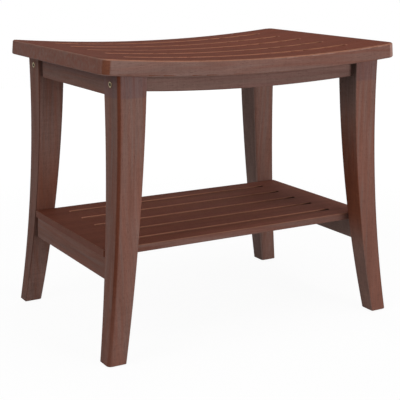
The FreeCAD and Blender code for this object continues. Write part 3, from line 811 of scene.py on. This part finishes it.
class BENCH_OT_finish_legs(bpy.types.Operator):
    """Stain the four legs, with their grain upright"""
    bl_idname = "bench.finish_legs"
    bl_label = "Finish Legs"

    def execute(self, context):
        wood = context.scene.bench_wood
        # The front legs carry painted red bounce light and painted shade on their inner faces, and the
        # painted shadow of the seat at their tops.
        front = Staining(
            upper=wood.shelf_stain, side=wood.side_stain, corner=wood.corner_shade,
            inner_low_bounce=wood.shelf_bounce_red, shade=1.01, lean=(-0.06, 0.0, 0.0), under_seat_shadow_start=LEG_SHADOW_START)
        dress(FRONT_LEGS, stained_wood("front_leg_wood", "Z", front, wood))
        # Painted shade: the rear left leg is painted darker, as it stands in the shade of the front of the
        # bench, its outer face less so.
        rear_left = Staining(
            upper=wood.shelf_stain, side=wood.side_stain, corner=wood.rear_corner_shade,
            shade=0.765, outer_shade=0.93, lean=(0.0, 0.0, 0.1), drift=(0.9, 0.0, 0.0), shelf_bounce_light=0.65)
        dress(["leg_rear_left"], stained_wood("rear_left_leg_wood", "Z", rear_left, wood))
        rear_right = Staining(
            upper=wood.shelf_stain, side=wood.side_stain, corner=wood.corner_shade,
            shade=0.93, lean=(0.0, 0.0, 0.2), drift=(0.3, -1.8, -0.2), shelf_bounce_light=0.15)
        dress(["leg_rear_right"], stained_wood("rear_right_leg_wood", "Z", rear_right, wood))
        return {"FINISHED"}


class BENCH_OT_finish_aprons(bpy.types.Operator):
    """Stain the long aprons under the seat, with their grain along the bench"""
    bl_idname = "bench.finish_aprons"
    bl_label = "Finish Aprons"

    def execute(self, context):
        wood = context.scene.bench_wood
        # The aprons are painted darker and greyer with the shade under the seat.
        staining = Staining(
            upper=wood.shelf_stain, side=wood.apron_stain_and_shade, corner=wood.corner_shade,
            shade=0.965, drift=(0.6, -0.4, -0.6))
        dress(APRONS, stained_wood("apron_wood_oiled", "X", staining, wood))
        return {"FINISHED"}


class BENCH_OT_finish_rails(bpy.types.Operator):
    """Stain the rails of the end frames, with their grain from front to back"""
    bl_idname = "bench.finish_rails"
    bl_label = "Finish End Rails"

    def execute(self, context):
        wood = context.scene.bench_wood
        # The upper rails carry the painted shadow of the seat at their tops.
        staining = Staining(
            upper=wood.shelf_stain, side=wood.side_stain, corner=wood.corner_shade,
            drift=(0.2, -0.3, -0.55), under_seat_shadow_start=RAIL_SHADOW_START)
        dress(END_RAILS, stained_wood("rail_wood_oiled", "Y", staining, wood))
        return {"FINISHED"}


class BENCH_OT_finish_dowels(bpy.types.Operator):
    """Give the dowels their bare hardwood"""
    bl_idname = "bench.finish_dowels"
    bl_label = "Finish Dowels"

    def execute(self, context):
        dress(DOWELS, bare_wood("dowel_wood_bare", "Y", context.scene.bench_wood))
        return {"FINISHED"}


class BENCH_OT_finish_bolts(bpy.types.Operator):
    """Plate the bolts that show in the legs with dull brass"""
    bl_idname = "bench.finish_bolts"
    bl_label = "Finish Bolts"

    def execute(self, context):
        dress(["apron_bolts"], dull_brass("bolt_brass_dull", context.scene.bench_hardware))
        return {"FINISHED"}


class BENCH_OT_finish_fixings(bpy.types.Operator):
    """Plate the nuts, screws and nails with zinc"""
    bl_idname = "bench.finish_fixings"
    bl_label = "Finish Fixings"

    def execute(self, context):
        dress(FIXINGS, zinc_plate("fixing_zinc_plate", context.scene.bench_hardware))
        return {"FINISHED"}


class BENCH_OT_finish_glides(bpy.types.Operator):
    """Give the foot glides their black plastic"""
    bl_idname = "bench.finish_glides"
    bl_label = "Finish Foot Glides"

    def execute(self, context):
        dress(GLIDES, moulded_plastic("glide_plastic_black", context.scene.bench_hardware))
        return {"FINISHED"}


def seen_directly(tree):
    """1 where a ray comes from the camera, a reflection or a clear surface, and 0 for plain bounced light."""
    rays = tree.nodes.new("ShaderNodeLightPath").outputs
    seen = rays["Is Camera Ray"]
    for name in ("Is Glossy Ray", "Is Transmission Ray"):
        larger = tree.nodes.new("ShaderNodeMath")
        larger.operation = "MAXIMUM"
        tree.links.new(seen, larger.inputs[0])
        tree.links.new(rays[name], larger.inputs[1])
        seen = larger.outputs[0]
    return seen


def stage_floor(stage):
    """Round pale floor: white where it is seen in the open, a little darker in the bench's shadow."""
    bpy.ops.mesh.primitive_circle_add(vertices=FLOOR_SIDES, radius=FLOOR_RADIUS, fill_type="NGON")
    floor = bpy.context.object
    floor.name = "stage_floor"
    finish = Finish("stage_floor_white")
    plain = finish.add("BsdfDiffuse", {"Color": opaque(stage.floor_shade)})
    faint = finish.add("BsdfDiffuse", {"Color": opaque([stage.shadow_depth] * 3)})
    from_middle = finish.distance(finish.position["X"], finish.position["Y"])
    # Near the bench the lamps light the faint part, so the glow gives way there and the sum stays white.
    near_glow = 1.0 - LAMPS_ON_FLOOR * stage.shadow_depth
    glow = finish.add("Emission", {"Strength": finish.ramp(from_middle, OPEN_FLOOR, near_glow, 1.0)})
    shown = finish.add("AddShader", {0: faint.outputs[0], 1: glow.outputs[0]})
    inputs = {0: seen_directly(finish.tree), 1: plain.outputs[0], 2: shown.outputs[0]}
    finish.show(finish.add("MixShader", inputs))
    floor.data.materials.append(finish.material)


def stage_world(stage):
    """White all round where it is seen, and a softer even light on the bench."""
    world = bpy.data.worlds.new("stage_surround")
    bpy.context.scene.world = world
    world.use_nodes = True
    tree = world.node_tree
    background = tree.nodes["Background"]
    background.inputs["Color"].default_value = (1.0, 1.0, 1.0, 1.0)
    strength = tree.nodes.new("ShaderNodeMapRange")
    tree.links.new(seen_directly(tree), strength.inputs["Value"])
    strength.inputs["To Min"].default_value = stage.room_light
    strength.inputs["To Max"].default_value = 1.0
    tree.links.new(strength.outputs[0], background.inputs["Strength"])


def stage_lamp(lamp, power, target):
    """Square soft lamp that looks at a point."""
    light = bpy.data.lights.new(lamp.name, "AREA")
    light.energy = power
    light.size = lamp.width
    holder = bpy.data.objects.new(lamp.name, light)
    bpy.context.collection.objects.link(holder)
    holder.location = lamp.place
    aim = target - holder.location
    holder.rotation_euler = aim.to_track_quat("-Z", "Y").to_euler()
    holder.visible_glossy = lamp.mirrored


def stage_camera(stage):
    """Camera in front of the left end of the bench, a little above its seat."""
    camera = bpy.data.cameras.new("stage_camera")
    camera.lens = stage.lens
    camera.sensor_width = SENSOR_WIDTH
    holder = bpy.data.objects.new("stage_camera", camera)
    bpy.context.collection.objects.link(holder)
    holder.location = stage.camera_place
    holder.rotation_euler = stage.camera_turn
    bpy.context.scene.camera = holder


class BENCH_OT_set_stage(bpy.types.Operator):
    """Set the bench on a white floor under soft lamps, with a camera in front of its left end"""
    bl_idname = "bench.set_stage"
    bl_label = "Set Stage"

    def execute(self, context):
        stage = context.scene.bench_stage
        middle = (CAD_BOX[0] + CAD_BOX[1]) / 2
        stage_floor(stage)
        stage_world(stage)
        for lamp in LAMPS:
            stage_lamp(lamp, getattr(stage, lamp.power_setting), middle)
        stage_camera(stage)
        context.scene.view_settings.view_transform = "Standard"
        return {"FINISHED"}


OPERATORS = (BENCH_OT_finish_seat, BENCH_OT_finish_shelf, BENCH_OT_finish_legs, BENCH_OT_finish_aprons,
             BENCH_OT_finish_rails, BENCH_OT_finish_dowels, BENCH_OT_finish_bolts, BENCH_OT_finish_fixings,
             BENCH_OT_finish_glides, BENCH_OT_set_stage)


class BENCH_PT_finish(bpy.types.Panel):
    """Lists the finishes of the bench and their settings"""
    bl_idname = "BENCH_PT_finish"
    bl_label = "Shower Bench"
    bl_space_type = "VIEW_3D"
    bl_region_type = "UI"
    bl_category = "Bench"

    def draw(self, context):
        for operator in OPERATORS:
            self.layout.operator(operator.bl_idname)
        scene = context.scene
        for group in (scene.bench_wood, scene.bench_hardware, scene.bench_stage):
            box = self.layout.box()
            for name in group.__annotations__:
                box.prop(group, name)


CLASSES = (BenchWood, BenchHardware, BenchStage, *OPERATORS, BENCH_PT_finish)


def register():
    """Adds the settings, the operators and the panel to Blender."""
    for item in CLASSES:
        bpy.utils.register_class(item)
    bpy.types.Scene.bench_wood = PointerProperty(type=BenchWood)
    bpy.types.Scene.bench_hardware = PointerProperty(type=BenchHardware)
    bpy.types.Scene.bench_stage = PointerProperty(type=BenchStage)


def unregister():
    """Takes them out again."""
    del bpy.types.Scene.bench_stage
    del bpy.types.Scene.bench_hardware
    del bpy.types.Scene.bench_wood
    for item in reversed(CLASSES):
        bpy.utils.unregister_class(item)


def main():
    """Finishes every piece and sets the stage."""
    register()
    bpy.ops.bench.finish_seat()
    bpy.ops.bench.finish_shelf()
    bpy.ops.bench.finish_legs()
    bpy.ops.bench.finish_aprons()
    bpy.ops.bench.finish_rails()
    bpy.ops.bench.finish_dowels()
    bpy.ops.bench.finish_bolts()
    bpy.ops.bench.finish_fixings()
    bpy.ops.bench.finish_glides()
    bpy.ops.bench.set_stage()


if __name__ == "__main__":
    main()
